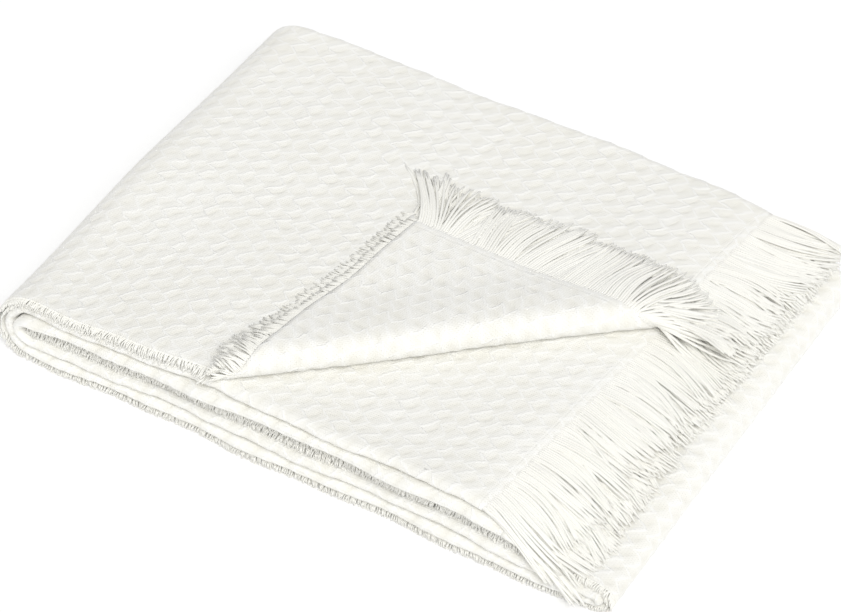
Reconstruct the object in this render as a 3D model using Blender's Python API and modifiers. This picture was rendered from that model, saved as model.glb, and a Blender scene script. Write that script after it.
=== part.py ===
"""A woven cotton throw with a fringe at both ends, folded into a flat pack with one corner turned back.

Metres, +Z up. X runs along the pack towards its fringed end, Y across it towards the back fold.
The throw is cut flat, marked with its fold lines, and folded twice across and twice along:
u is measured along the warp from one hem to the other, v across it from selvedge to selvedge.
"""

import math

import bmesh
import bpy
from mathutils import Vector

# The cloth and the pitch of the folded layers
CLOTH = 0.0013
LOCK = 0.0010
PITCH = 0.0035
LOWEST = 0.5 * PITCH - CLOTH / 2

# The pack, measured on the middle of the cloth
BACK = 0.1545
FRONT = -0.1545
LEFT_AXIS = -0.1850
INNER_LEFT_AXIS = -0.1862
RIGHT_AXIS = 0.2035
LEFT_FOLD_SQUARENESS = 0.72
SELVEDGE_SET_BACK = 0.0050
NOSE_DEPTH = 0.0042
# The middle of the pack's outer box, which the origin lies under
PACK_CENTRE = Vector((0.0024, -0.0006))

# Where the two hems lie, at the middle of the pack, and how far they lean along Y
TOP_HEM = 0.1475
UNDER_HEM = 0.1520
TOP_HEM_LEAN = 0.085
UNDER_HEM_LEAN = 0.020

# The corner of the two upper layers, turned back over a soft roll
CREASE_POINT = Vector((0.0610, -0.0440))
CREASE_ANGLE = math.radians(42)
CREASE_ALONG = Vector((math.cos(CREASE_ANGLE), math.sin(CREASE_ANGLE)))
CREASE_OUT = Vector((math.sin(CREASE_ANGLE), -math.cos(CREASE_ANGLE)))
ROLL_RADIUS = 0.0050
ROLL_STEPS = 7
ROLL_SEARCH_STEP = 0.0004
ROLL_SETTLES_IN = 0.048
# No lock stands on the hem between these distances past the crease
ROLL_CLEARS = (-0.006, 0.030)

# The fringe
FRINGE = 0.050
STRIP = 0.0030
PART_GAP = 0.0007
LOCK_PITCH = 0.0105
LOCK_WIDTH = 0.0072
LOCK_TIP = 0.62
LOCK_STEPS = 3
LOCK_RAGGED = 0.07
LOCK_SWAY = 0.0027
LOCK_SWAY_LENGTH = 0.115
# How far a lock leans at its tip, panel by panel
LEAN = {"outer": -0.0030, "lowest": 0.0085, "second": -0.0085, "inner": 0.0030}
# On the turned-back corner it leans away from the selvedge, and beside the selvedge towards it
CORNER_LEAN = 0.0035
SELVEDGE_LEAN = -0.0280
SELVEDGE_LEAN_FROM = 0.008
SELVEDGE_LEAN_WIDTH = 0.016
LEAN_GROWS_IN = 0.065
FRINGE_PITCH = 0.0022

# The layers of the pack start to settle here, towards the fringed end
SETTLE_FROM = 0.118
SETTLE_TO = 0.205

# How the four layers across one strip stand at its front edge, where the folded nose is puffy.
# level: height in the strip in layers, front: the same at the front edge
FRONT_LEVELS = (
    {"level": 0.0, "front": 0.00},
    {"level": 0.5, "front": 0.60},
    {"level": 1.5, "front": 1.80},
    {"level": 2.5, "front": 2.70},
    {"level": 3.5, "front": 3.50},
    {"level": 4.0, "front": 4.00},
)
PUFF_REACH = 0.032

# How far the front edge of each panel stands out from the pack's, and its back edge stands in.
# front: at the folded nose, selvedge: at the cut edges, back: at the back fold
PANELS = {
    "top": {"front": 0.0022, "selvedge": 0.0000, "back": 0.0000},
    "under": {"front": -0.0010, "selvedge": 0.0020, "back": 0.0014},
    "middle": {"front": 0.0012, "selvedge": 0.0030, "back": 0.0006},
    "bottom": {"front": 0.0000, "selvedge": -0.0010, "back": 0.0020},
}
JOINED = {
    "left_fold": ("top", "bottom"),
    "right_fold": ("bottom", "middle"),
    "inner_left_fold": ("middle", "under"),
}
EDGE_REACH = 0.090
WAVE = 0.0011
WAVE_LENGTH = 0.155
# A second, shorter wave on the first, and how much of both the back folds show
RIPPLE_SHARE = 0.6
RIPPLES_PER_WAVE = 2.33
BACK_SHARE = 0.7

# The top of the pack isn't level: it swells a little
SWELL = 0.0012
SWELL_ALONG = 0.230
SWELL_ACROSS = 0.190

# The pack is pressed lower towards its two front corners.
# x, y: the corner, along, across: how far from it this starts, share: of the height, at the corner
LOW_CORNERS = (
    {"x": -0.215, "y": -0.155, "along": 0.160, "across": 0.160, "share": 0.18},
    {"x": 0.215, "y": -0.155, "along": 0.110, "across": 0.130, "share": 0.38},
)

# Lengths of cloth in each panel and fold, along v and along u
BACK_AXIS = BACK - 1.5 * PITCH
NOSE_AXIS = FRONT + NOSE_DEPTH
SELVEDGE_Y = FRONT + SELVEDGE_SET_BACK
NOSE_ARC = math.pi * (NOSE_DEPTH + 0.5 * PITCH) / 2

ACROSS = (
    {"name": "outer", "length": BACK_AXIS - SELVEDGE_Y, "cells": 8},
    {"name": "outer_back_fold", "length": math.pi * 1.5 * PITCH, "cells": 6},
    {"name": "lowest", "length": BACK_AXIS - NOSE_AXIS, "cells": 5},
    {"name": "nose", "length": NOSE_ARC, "cells": 6},
    {"name": "second", "length": BACK_AXIS - NOSE_AXIS, "cells": 5},
    {"name": "inner_back_fold", "length": math.pi * 0.5 * PITCH, "cells": 4},
    {"name": "inner", "length": BACK_AXIS - SELVEDGE_Y, "cells": 8},
)
ALONG = (
    {"name": "top", "length": TOP_HEM - LEFT_AXIS, "cells": 8},
    {"name": "left_fold", "length": math.pi * 7.5 * PITCH, "cells": 10},
    {"name": "bottom", "length": RIGHT_AXIS - LEFT_AXIS, "cells": 5},
    {"name": "right_fold", "length": math.pi * 3.5 * PITCH, "cells": 7},
    {"name": "middle", "length": RIGHT_AXIS - INNER_LEFT_AXIS, "cells": 5},
    {"name": "inner_left_fold", "length": math.pi * 0.5 * PITCH, "cells": 5},
    {"name": "under", "length": UNDER_HEM - INNER_LEFT_AXIS, "cells": 7},
)
UPPER_LAYERS = ("outer", "inner")
CLOTH_LENGTH = sum(row["length"] for row in ALONG)
CLOTH_WIDTH = sum(row["length"] for row in ACROSS)


def ease(t):
    """0 before 0, 1 after 1, and a smooth step between."""
    t = min(1.0, max(0.0, t))
    return t * t * (3 - 2 * t)


def blend(a, b, t):
    return a + (b - a) * t


def find(table, at):
    """The row of the table that holds this length of cloth, and how far into it the length reaches."""
    start = 0.0
    for row in table:
        if at <= start + row["length"] or row is table[-1]:
            return row["name"], at - start, row["length"]
        start += row["length"]


def across(v):
    """Where a thread lies across the strip: its Y, its height in the strip, and its panel's name."""
    name, d, length = find(ACROSS, v)
    turn = math.pi * d / length
    if name == "outer":
        return SELVEDGE_Y + d, 3.5 * PITCH, name
    if name == "outer_back_fold":
        return BACK_AXIS + 1.5 * PITCH * math.sin(turn), (2 + 1.5 * math.cos(turn)) * PITCH, name
    if name == "lowest":
        return BACK_AXIS - d, 0.5 * PITCH, name
    if name == "nose":
        return NOSE_AXIS - NOSE_DEPTH * math.sin(turn), (1 - 0.5 * math.cos(turn)) * PITCH, name
    if name == "second":
        return NOSE_AXIS + d, 1.5 * PITCH, name
    if name == "inner_back_fold":
        return BACK_AXIS + 0.5 * PITCH * math.sin(turn), (2 - 0.5 * math.cos(turn)) * PITCH, name
    return BACK_AXIS - d, 2.5 * PITCH, name


def puffed(w, y):
    """The height in the strip, once the folded nose at the front has pushed its layers apart."""
    level = w / PITCH
    for low, high in zip(FRONT_LEVELS, FRONT_LEVELS[1:]):
        if level <= high["level"] or high is FRONT_LEVELS[-1]:
            share = (level - low["level"]) / (high["level"] - low["level"])
            front = blend(low["front"], high["front"], share)
            return blend(front, level, ease((y - FRONT) / PUFF_REACH)) * PITCH


def hem(y, x, lean):
    """How far along the pack a hem lies at this Y."""
    return x + lean * y


def edge_shift(u, y, name):
    """How far a point near the front or back edge is moved along Y, panel by panel."""
    row_name, d, length = find(ALONG, u)
    first, last = JOINED.get(row_name, (row_name, row_name))
    values = {key: blend(PANELS[first][key], PANELS[last][key], ease(d / length)) for key in PANELS[first]}
    near_front = 1 - ease((y - FRONT) / EDGE_REACH)
    near_back = 1 - ease((BACK - y) / EDGE_REACH)
    front = values["selvedge"] if name in UPPER_LAYERS else values["front"]
    turn = 2 * math.pi * u / WAVE_LENGTH
    wave = WAVE * (math.sin(turn) + RIPPLE_SHARE * math.sin(RIPPLES_PER_WAVE * turn + 1.3))
    return (front + wave) * near_front - (values["back"] + BACK_SHARE * wave) * near_back


def along(u, y, w):
    """Where a thread lies along the pack: its X and its height."""
    name, d, length = find(ALONG, u)
    turn = math.pi * d / length
    if name == "top":
        edge = hem(y, TOP_HEM, TOP_HEM_LEAN)
        x = edge - d if u < 0 else blend(edge, LEFT_AXIS, d / length)
        return x, 12 * PITCH + w
    if name == "left_fold":
        # A circle above that turns squarer below, where the pack's weight rests on it
        r = 4 * PITCH + w
        power = blend(1.0, LEFT_FOLD_SQUARENESS, ease(2 * d / length - 1))
        side = math.sin(turn) ** power
        rise = abs(math.cos(turn)) ** power * (1 if turn < math.pi / 2 else -1)
        return LEFT_AXIS - r * side, 8 * PITCH + r * rise
    if name == "bottom":
        return LEFT_AXIS + d, 4 * PITCH - w
    if name == "right_fold":
        return RIGHT_AXIS + w * math.sin(turn), 4 * PITCH - w * math.cos(turn)
    if name == "middle":
        return RIGHT_AXIS - d, 4 * PITCH + w
    if name == "inner_left_fold":
        r = 4 * PITCH - w
        return INNER_LEFT_AXIS - r * math.sin(turn), 8 * PITCH - r * math.cos(turn)
    edge = hem(y, UNDER_HEM, UNDER_HEM_LEAN)
    x = edge + d - length if d > length else blend(INNER_LEFT_AXIS, edge, d / length)
    return x, 12 * PITCH - w


def settled(x, z):
    """The two upper panels and their fringes lie closer together towards the fringed end."""
    fold_top = 8 * PITCH
    if z <= fold_top:
        return z
    squeeze = blend(1.0, FRINGE_PITCH / PITCH, ease((x - SETTLE_FROM) / (SETTLE_TO - SETTLE_FROM)))
    return fold_top + (z - fold_top) * squeeze


def uneven(x, y, z):
    """How much the layers of the two upper panels swell or sink here, the top ones the most."""
    share = max(0.0, z / (8 * PITCH) - 1)
    swell = SWELL * math.sin(2 * math.pi * x / SWELL_ALONG + 0.6) * math.cos(2 * math.pi * y / SWELL_ACROSS)
    return share * swell


def pressed(x, y):
    """The share of its height that the pack keeps here."""
    keep = 1.0
    for corner in LOW_CORNERS:
        near = 1 - ease(abs(x - corner["x"]) / corner["along"])
        keep -= corner["share"] * near * (1 - ease(abs(y - corner["y"]) / corner["across"]))
    return keep


def past_crease(v):
    """How far past the crease the top hem is at this thread."""
    y = across(v)[0]
    root = Vector((hem(y, TOP_HEM, TOP_HEM_LEAN), y)) - CREASE_POINT
    return root.dot(CREASE_OUT)


def turned_back(x, y, w):
    """A point of the two upper layers past the crease: over the roll, then down onto the pack."""
    point = Vector((x, y)) - CREASE_POINT
    out = point.dot(CREASE_OUT)
    if out <= 0:
        return x, y, 0.0
    under_top = 3.5 * PITCH - w
    r = ROLL_RADIUS + under_top
    if out < math.pi * r:
        beyond = r * math.sin(out / r)
        rise = r * (1 - math.cos(out / r))
    else:
        beyond = math.pi * r - out
        rests = PITCH + 2 * under_top
        rise = blend(2 * r, rests, ease(-beyond / ROLL_SETTLES_IN))
    turned = CREASE_POINT + CREASE_ALONG * point.dot(CREASE_ALONG) + CREASE_OUT * beyond
    return turned.x, turned.y, rise


def place(u, v):
    """The folded place of a point of the flat throw."""
    y, w, name = across(v)
    x, height = along(u, y, puffed(w, y))
    rise = 0.0
    y += edge_shift(u, y, name)
    lies_flat = u < 0 and past_crease(v) < 0
    if u < ALONG[0]["length"] and name in UPPER_LAYERS and not lies_flat:
        x, y, rise = turned_back(x, y, w)
    z = settled(x, height)
    lift = z + uneven(x, y, z) + rise - LOWEST
    return Vector((x - PACK_CENTRE.x, y - PACK_CENTRE.y, CLOTH / 2 + (lift - CLOTH / 2) * pressed(x, y)))


def lines(table):
    """The marks along one side of the flat throw, at each panel's and fold's own spacing."""
    marks = []
    start = 0.0
    for row in table:
        for n in range(row["cells"]):
            marks.append(start + row["length"] * n / row["cells"])
        start += row["length"]
    return marks[1:]


def inside(face, u_range, v_range):
    """True where the middle of the face lies in both ranges."""
    middle = face.calc_center_median()
    return u_range[0] < middle.x < u_range[1] and v_range[0] < middle.y < v_range[1]


def cut(bm, point, direction, u_range=(-1, 9), v_range=(-1, 9)):
    """Marks a straight line into the flat cloth, over the faces that lie in both ranges."""
    faces = [f for f in bm.faces if inside(f, u_range, v_range)]
    edges = list({e for f in faces for e in f.edges})
    verts = list({v for f in faces for v in f.verts})
    normal = Vector((direction[1], -direction[0], 0))
    start = Vector((point[0], point[1], 0))
    bmesh.ops.bisect_plane(bm, geom=verts + edges + faces, dist=1e-6, plane_co=start, plane_no=normal)


def flat_piece(u_range, v_range):
    """A rectangle of flat cloth, as a new bmesh."""
    bm = bmesh.new()
    bmesh.ops.create_grid(bm, x_segments=1, y_segments=1, size=0.5)
    for vert in bm.verts:
        vert.co.x = u_range[0] if vert.co.x < 0 else u_range[1]
        vert.co.y = v_range[0] if vert.co.y < 0 else v_range[1]
    return bm


def crease_line(out, side):
    """Two flat points of the line at this distance past the crease, on the outer or the inner layer."""
    panel = ALONG[0]["length"]
    origin = CREASE_POINT + CREASE_OUT * out
    found = []
    for y in (SELVEDGE_Y, 0.02):
        x = origin.x + (y - origin.y) * CREASE_ALONG.x / CREASE_ALONG.y
        edge = hem(y, TOP_HEM, TOP_HEM_LEAN)
        u = panel * (edge - x) / (edge - LEFT_AXIS)
        from_selvedge = y - SELVEDGE_Y
        found.append(Vector((u, from_selvedge if side == "outer" else CLOTH_WIDTH - from_selvedge)))
    return found


def mark_crease(bm):
    """Lines over the roll and the turned-back corner, so that both bend smoothly."""
    panel = ALONG[0]["length"]
    half = ACROSS[0]["length"]
    for side, under_top in (("outer", 0.0), ("inner", PITCH)):
        turn = math.pi * (ROLL_RADIUS + under_top)
        marks = [turn * n / ROLL_STEPS for n in range(ROLL_STEPS + 1)]
        marks += [turn + ROLL_SETTLES_IN * n / 4 for n in range(1, 5)]
        layer = (0, half) if side == "outer" else (CLOTH_WIDTH - half, CLOTH_WIDTH)
        for out in marks:
            first, last = crease_line(out, side)
            cut(bm, first, last - first, (0, panel), layer)


def folded_object(name, bm, thickness, material, collection):
    """Folds the flat bmesh and gives it its thickness, as one closed solid."""
    for vert in bm.verts:
        vert.co = place(vert.co.x, vert.co.y)
    bmesh.ops.recalc_face_normals(bm, faces=bm.faces)
    mesh = bpy.data.meshes.new(name)
    bm.to_mesh(mesh)
    bm.free()
    mesh.materials.append(material)
    obj = bpy.data.objects.new(name, mesh)
    collection.objects.link(obj)
    wall = obj.modifiers.new("thickness", "SOLIDIFY")
    wall.thickness = thickness
    wall.offset = 0
    wall.use_even_offset = True
    return obj


def make_cloth(material, collection):
    """The throw itself: one cut cloth, marked and folded."""
    bm = flat_piece((0, CLOTH_LENGTH), (0, CLOTH_WIDTH))
    for u in lines(ALONG):
        cut(bm, (u, 0), (0, 1))
    for v in lines(ACROSS):
        cut(bm, (0, v), (1, 0))
    mark_crease(bm)
    return folded_object("cloth", bm, CLOTH, material, collection)


def lock_places(end):
    """The flat sides of each lock of one fringe: panel by panel, clear of the folds."""
    found = []
    start = 0.0
    for row in ACROSS:
        if not row["name"].endswith("fold") and row["name"] != "nose":
            count = int(row["length"] // LOCK_PITCH)
            spare = row["length"] - count * LOCK_PITCH
            for n in range(count):
                left = start + spare / 2 + n * LOCK_PITCH + (LOCK_PITCH - LOCK_WIDTH) / 2
                if end == "top" and row["name"] in UPPER_LAYERS and in_roll(left + LOCK_WIDTH / 2):
                    continue
                found.append((left, left + LOCK_WIDTH, row["name"]))
        start += row["length"]
    return found


def in_roll(v):
    """True where the hem goes over the roll, or lies so near it that a lock would run into it."""
    return ROLL_CLEARS[0] < past_crease(v) < ROLL_CLEARS[1]


def sway(end, v, name, t):
    """How far a lock has moved along v at this share of its length."""
    phase = 0.0 if end == "top" else 2.1
    wave = LOCK_SWAY * math.sin(2 * math.pi * v / LOCK_SWAY_LENGTH + phase)
    nose = sum(row["length"] for row in ACROSS[:3]) + NOSE_ARC / 2
    lean = LEAN[name]
    if name in ("lowest", "second"):
        lean *= ease((abs(v - nose) - NOSE_ARC / 2) / LEAN_GROWS_IN)
    if end == "top" and name in UPPER_LAYERS and past_crease(v) > 0:
        off = ease((min(v, CLOTH_WIDTH - v) - SELVEDGE_LEAN_FROM) / SELVEDGE_LEAN_WIDTH)
        lean = blend(SELVEDGE_LEAN, CORNER_LEAN, off) * (1 if name == "outer" else -1)
    return blend(t, t * t, 0.7) * lean + t * t * wave


def make_fringe(end, name, material, collection):
    """A narrow strip just off the hem, with its locks of twisted yarn."""
    if end == "top":
        near, way = -PART_GAP, -1
    else:
        near, way = CLOTH_LENGTH + PART_GAP, 1
    far = near + way * STRIP
    bm = flat_piece((min(near, far), max(near, far)), (0, CLOTH_WIDTH))
    locks = lock_places(end)
    start = 0.0
    for row in ACROSS:
        if row["name"].endswith("fold") or row["name"] == "nose":
            for n in range(row["cells"] + 1):
                cut(bm, (0, start + row["length"] * n / row["cells"]), (1, 0))
        start += row["length"]
    for left, right, _ in locks:
        cut(bm, (0, left), (1, 0))
        cut(bm, (0, right), (1, 0))
    if end == "top":
        mark_hem_roll(bm)
    for left, right, panel in locks:
        middle = (left + right) / 2
        edge = next(
            e
            for e in bm.edges
            if all(abs(v.co.x - far) < 1e-6 and left - 1e-5 < v.co.y < right + 1e-5 for v in e.verts)
        )
        length = FRINGE * (1 + LOCK_RAGGED * (math.sin(71 * middle) + 0.7 * math.sin(233 * middle)))
        for n in range(1, LOCK_STEPS + 1):
            t = n / LOCK_STEPS
            grown = bmesh.ops.extrude_edge_only(bm, edges=[edge])["geom"]
            edge = next(g for g in grown if isinstance(g, bmesh.types.BMEdge))
            half = LOCK_WIDTH / 2 * blend(1, LOCK_TIP, t)
            for vert in edge.verts:
                side = 1 if vert.co.y > middle + sway(end, middle, panel, (n - 1) / LOCK_STEPS) else -1
                vert.co.x = far + way * length * t
                vert.co.y = middle + sway(end, middle, panel, t) + side * half
    return folded_object(name, bm, LOCK, material, collection)


def mark_hem_roll(bm):
    """Lines where the strip of the top hem goes over the roll."""
    for side, under_top in (("outer", 0.0), ("inner", PITCH)):
        turn = math.pi * (ROLL_RADIUS + under_top)
        for n in range(ROLL_STEPS + 1):
            v = ROLL_SEARCH_STEP
            while past_crease(v) > turn * n / ROLL_STEPS:
                v += ROLL_SEARCH_STEP
            cut(bm, (0, v if side == "outer" else CLOTH_WIDTH - v), (1, 0))


def cotton(name, colour, roughness):
    """A matt cotton finish."""
    material = bpy.data.materials.new(name)
    material.use_nodes = True
    shader = material.node_tree.nodes["Principled BSDF"]
    shader.inputs["Base Color"].default_value = (*colour, 1)
    shader.inputs["Roughness"].default_value = roughness
    shader.inputs["Metallic"].default_value = 0.0
    return material


def main():
    for obj in list(bpy.data.objects):
        bpy.data.objects.remove(obj, do_unlink=True)
    throw = bpy.data.collections.new("cotton_throw")
    bpy.context.scene.collection.children.link(throw)
    woven = cotton("woven_cotton", (0.88, 0.86, 0.81), 0.9)
    yarn = cotton("twisted_yarn", (0.90, 0.88, 0.82), 0.85)
    make_cloth(woven, throw)
    make_fringe("top", "top_fringe", yarn, throw)
    make_fringe("under", "under_fringe", yarn, throw)


main()
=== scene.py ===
"""The looks of a folded white cotton throw: the woven cloth, its two fringes and its frayed selvedges.

Metres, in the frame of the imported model: X along the pack towards its fringed end, Y towards its back
folds. The cloth and its yarns are laid out flat, u along the warp and v along the weft, and then folded
with the same sizes as the solids that they replace.
"""

import math
import random
from bisect import bisect_left

import bmesh
import bpy
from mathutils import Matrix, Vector, noise


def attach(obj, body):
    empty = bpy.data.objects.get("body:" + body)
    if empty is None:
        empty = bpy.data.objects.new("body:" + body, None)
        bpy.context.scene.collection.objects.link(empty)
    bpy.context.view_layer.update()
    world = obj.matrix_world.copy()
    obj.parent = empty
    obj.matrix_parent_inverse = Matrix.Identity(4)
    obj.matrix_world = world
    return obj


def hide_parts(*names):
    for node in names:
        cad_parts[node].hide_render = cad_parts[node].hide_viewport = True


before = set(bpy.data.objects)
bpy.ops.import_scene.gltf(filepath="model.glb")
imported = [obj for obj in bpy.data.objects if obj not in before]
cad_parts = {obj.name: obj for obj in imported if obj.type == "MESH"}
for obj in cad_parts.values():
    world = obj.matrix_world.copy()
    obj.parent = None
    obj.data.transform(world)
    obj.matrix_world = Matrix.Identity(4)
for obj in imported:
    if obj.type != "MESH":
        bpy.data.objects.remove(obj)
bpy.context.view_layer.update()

# The pitch of the folded layers, four to a strip and sixteen to the pack, and the cloth's own thickness
PITCH = 0.0035
SOLID_CLOTH = 0.0013
LOWEST = 0.5 * PITCH - SOLID_CLOTH / 2
FOLD_TOP = 8 * PITCH
CLOTH = 0.0027

# The pack, measured on the middle of the cloth
BACK = 0.1545
FRONT = -0.1545
LEFT_AXIS = -0.1850
INNER_LEFT_AXIS = -0.1862
RIGHT_AXIS = 0.2035
LEFT_FOLD_SQUARENESS = 0.72
SELVEDGE_SET_BACK = 0.0050
NOSE_DEPTH = 0.0042
PACK_CENTRE = Vector((0.0024, -0.0006))

# The two hems
TOP_HEM = 0.1475
UNDER_HEM = 0.1520
TOP_HEM_LEAN = 0.085
UNDER_HEM_LEAN = 0.020

# The corner of the two upper layers, turned back over a soft roll
CREASE_POINT = Vector((0.0610, -0.0440))
CREASE_ANGLE = math.radians(42)
CREASE_ALONG = Vector((math.cos(CREASE_ANGLE), math.sin(CREASE_ANGLE)))
CREASE_OUT = Vector((math.sin(CREASE_ANGLE), -math.cos(CREASE_ANGLE)))
ROLL_RADIUS = 0.0050
ROLL_SETTLES_IN = 0.048

# Where the upper panels settle towards the fringed end, and how the layers stand at the front edge
FRINGE_PITCH = 0.0022
SETTLE_FROM = 0.118
SETTLE_TO = 0.205
FRONT_LEVELS = (
    {"level": 0.0, "front": 0.00},
    {"level": 0.5, "front": 0.60},
    {"level": 1.5, "front": 1.80},
    {"level": 2.5, "front": 2.70},
    {"level": 3.5, "front": 3.50},
    {"level": 4.0, "front": 4.00},
)
PUFF_REACH = 0.032

# How far each panel's edges stand out or in, and the waves along them
PANELS = {
    "top": {"front": 0.0022, "selvedge": 0.0000, "back": 0.0000},
    "under": {"front": -0.0010, "selvedge": 0.0020, "back": 0.0014},
    "middle": {"front": 0.0012, "selvedge": 0.0030, "back": 0.0006},
    "bottom": {"front": 0.0000, "selvedge": -0.0010, "back": 0.0020},
}
JOINED = {
    "left_fold": ("top", "bottom"),
    "right_fold": ("bottom", "middle"),
    "inner_left_fold": ("middle", "under"),
}
EDGE_REACH = 0.090
WAVE = 0.0011
WAVE_LENGTH = 0.155
RIPPLE_SHARE = 0.6
RIPPLES_PER_WAVE = 2.33
RIPPLE_SHIFT = 1.3
BACK_SHARE = 0.7

# The top swells a little
SWELL = 0.0012
SWELL_SHIFT = 0.6
SWELL_ALONG = 0.230
SWELL_ACROSS = 0.190

# The pack is pressed lower towards its two front corners
LOW_CORNERS = (
    {"x": -0.215, "y": -0.155, "along": 0.160, "across": 0.160, "share": 0.18},
    {"x": 0.215, "y": -0.155, "along": 0.110, "across": 0.130, "share": 0.38},
)

# Lengths of cloth in each panel and fold
BACK_AXIS = BACK - 1.5 * PITCH
NOSE_AXIS = FRONT + NOSE_DEPTH
SELVEDGE_Y = FRONT + SELVEDGE_SET_BACK
NOSE_ARC = math.pi * (NOSE_DEPTH + 0.5 * PITCH) / 2
ACROSS = (
    {"name": "outer", "length": BACK_AXIS - SELVEDGE_Y},
    {"name": "outer_back_fold", "length": math.pi * 1.5 * PITCH},
    {"name": "lowest", "length": BACK_AXIS - NOSE_AXIS},
    {"name": "nose", "length": NOSE_ARC},
    {"name": "second", "length": BACK_AXIS - NOSE_AXIS},
    {"name": "inner_back_fold", "length": math.pi * 0.5 * PITCH},
    {"name": "inner", "length": BACK_AXIS - SELVEDGE_Y},
)
ALONG = (
    {"name": "top", "length": TOP_HEM - LEFT_AXIS},
    {"name": "left_fold", "length": math.pi * 7.5 * PITCH},
    {"name": "bottom", "length": RIGHT_AXIS - LEFT_AXIS},
    {"name": "right_fold", "length": math.pi * 3.5 * PITCH},
    {"name": "middle", "length": RIGHT_AXIS - INNER_LEFT_AXIS},
    {"name": "inner_left_fold", "length": math.pi * 0.5 * PITCH},
    {"name": "under", "length": UNDER_HEM - INNER_LEFT_AXIS},
)
UPPER_LAYERS = ("outer", "inner")
CLOTH_LENGTH = sum(row["length"] for row in ALONG)
CLOTH_WIDTH = sum(row["length"] for row in ACROSS)
TOP_LENGTH = ALONG[0]["length"]
LOWEST_WIDTH = ACROSS[2]["length"]
INNER_WIDTH = ACROSS[6]["length"]
NOSE_AT = sum(row["length"] for row in ACROSS[:3]) + NOSE_ARC / 2

# The weave's repeat: zigzag ridges along the weft, with a long dent beside each turn of a ridge.
# Between two of them lies a fainter one, half a repeat further along the weft.
WARP_REPEAT = 0.0215
WEFT_REPEAT = 0.0125
LEAF_LENGTH = 0.0072
LEAF_TURN = 0.30
RIDGE_HEIGHT = 0.00045
RIDGE_WIDTH = 0.0034
DENT_DEPTH = 0.00045
DENT_U = -0.0012
DENT_V = 0.0048
DENT_SLANT = -0.56
DENT_LENGTH = 0.0034
DENT_WIDTH = 0.0020
FAINT_SHARE = 0.60
FLAT_HEM = 0.0060
HEM_THINNESS = 0.25
FLAT_SELVEDGE = 0.0020
SELVEDGE_START = 0.3
# The pattern drifts and its height is uneven, by noises with a scale per metre and a layer each
DRIFT = 0.0026
DRIFT_SCALE = 30
DRIFT_LAYERS = {"u": 5.1, "v": 8.7}
UNEVEN_SCALE = 38
UNEVEN_LAYER = 0.4
UNEVEN_MIDDLE = 0.9
UNEVEN_SHARE = 0.9
# The same ridges and dents in the finish, in millimetres high and metres wide
BUMP_RIDGE = 0.30
BUMP_RIDGE_WIDTH = 0.0013
BUMP_DENT = 0.36
# How much lighter the ridges are painted, a painted highlight; the dents are painted darker, as painted
# shade
RIDGE_PAINTED_HIGHLIGHT = 1.6
HEM_GROOVE = 0.22
HEM_GROOVE_WIDTH = 0.0007
FINISH_DRIFT = 4 * DRIFT
FINISH_DRIFT_SCALE = 55.0
FINISH_DRIFT_DETAIL = 2.0
LEAST_STRENGTH = 0.2
MORE_STRENGTH = 1.6
THREAD_PITCH = {"u": 0.0017, "v": 0.0015}
THREAD_HEIGHT = 0.08
WEFT_THREAD_SHARE = 0.5

# Steps of the sheet's mesh: fine where it shows, coarse inside the pack, and close in the tightest folds
FINE = {"u": WARP_REPEAT / 8, "v": WEFT_REPEAT / 4}
MARGIN = {"u": WARP_REPEAT / 4, "v": WEFT_REPEAT / 4}
COARSE = {"u": 0.030, "v": 0.030}
NOSE_STEPS = {"u": WARP_REPEAT / 4, "v": WEFT_REPEAT / 8}
TIGHT_STEP = 0.0008
# The least distance, in steps, between a line of the mesh and the ends of its range
LINE_GAP = 0.3
# Where the panels are cut into patches that have steps of their own
ALONG_SPLITS = {"top": (0.245,), "middle": (0.070,)}
ACROSS_SPLITS = {
    "outer": (0.035,),
    "lowest": (0.018, LOWEST_WIDTH - 0.030),
    "second": (0.030, 0.190),
    "inner": (0.100, INNER_WIDTH - 0.030),
}

# The yarns of a fringe, in two rows
FRINGE = 0.050
FRINGE_ROOT = 0.0030
YARN_PITCH = 0.0016
YARN_START = 0.25
YARN_JITTER = 0.0003
YARN_RADIUS = 0.00095
YARN_ROWS = 2
YARN_ROW_DROP = 0.0008
YARN_RINGS = 8
YARN_SIDES = 5
YARN_FLATNESS = 0.80
# The most that a yarn is rolled about its own length, in radians
YARN_ROLL = 6
# A yarn thins out over its last stretch
YARN_TIP = 0.55
TIP_FROM = 0.8
TIP_LENGTH = 0.2
# The loose locks that the yarns are drawn together in
LOCK_WIDTHS = (0.008, 0.019)
LOCK_TIPS = (0.82, 0.99)
LOCK_LEAN = 0.0065
LOCK_LENGTHS = (0.84, 1.05)
LOCK_LIFTS = (0.0, 0.0022)
LOCK_CURL = 0.0032
LOWER_ROW_PULL = 0.40
# How one yarn differs from its lock, and a stray one more
LENGTH_SPREAD = 0.05
YARN_REACH = 0.0010
YARN_CURL = 0.0005
YARN_LIFT = 0.0005
YARN_BEND = 0.7
STRAY_SHARE = 0.10
STRAY_REACH = 0.007
# A long wave in the lean of the yarns, and how far they lean on each layer
LEAN_WAVE = 0.0027
LEAN_WAVE_LENGTH = 0.115
LEAN_WAVE_SHIFTS = {"top": 0.0, "under": 2.1}
NOSE_LEANS = (0.0085, -0.0105)
NOSE_LEAN_OVER = 0.065
OUTER_LEANS = (-0.0050, 0.0090)
OUTER_LEAN_FROM = 0.17
OUTER_LEAN_OVER = 0.10
INNER_LEAN = 0.0020
# A lock on the turned-back corner leans away from the selvedge, and beside the selvedge towards it
CORNER_LEAN = 0.0035
CORNER_LOCK_LEAN = 1.7
SELVEDGE_LEAN = -0.0280
SELVEDGE_LEAN_FROM = 0.008
SELVEDGE_LEAN_WIDTH = 0.016
# At the end of the roll the yarns fan out: the way they point, in degrees, by how far past the crease
# their roots are
FAN_STEPS = ((-0.010, -14), (0.002, -26), (0.008, -12), (0.014, 20), (0.022, 62), (0.030, 80))
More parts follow.
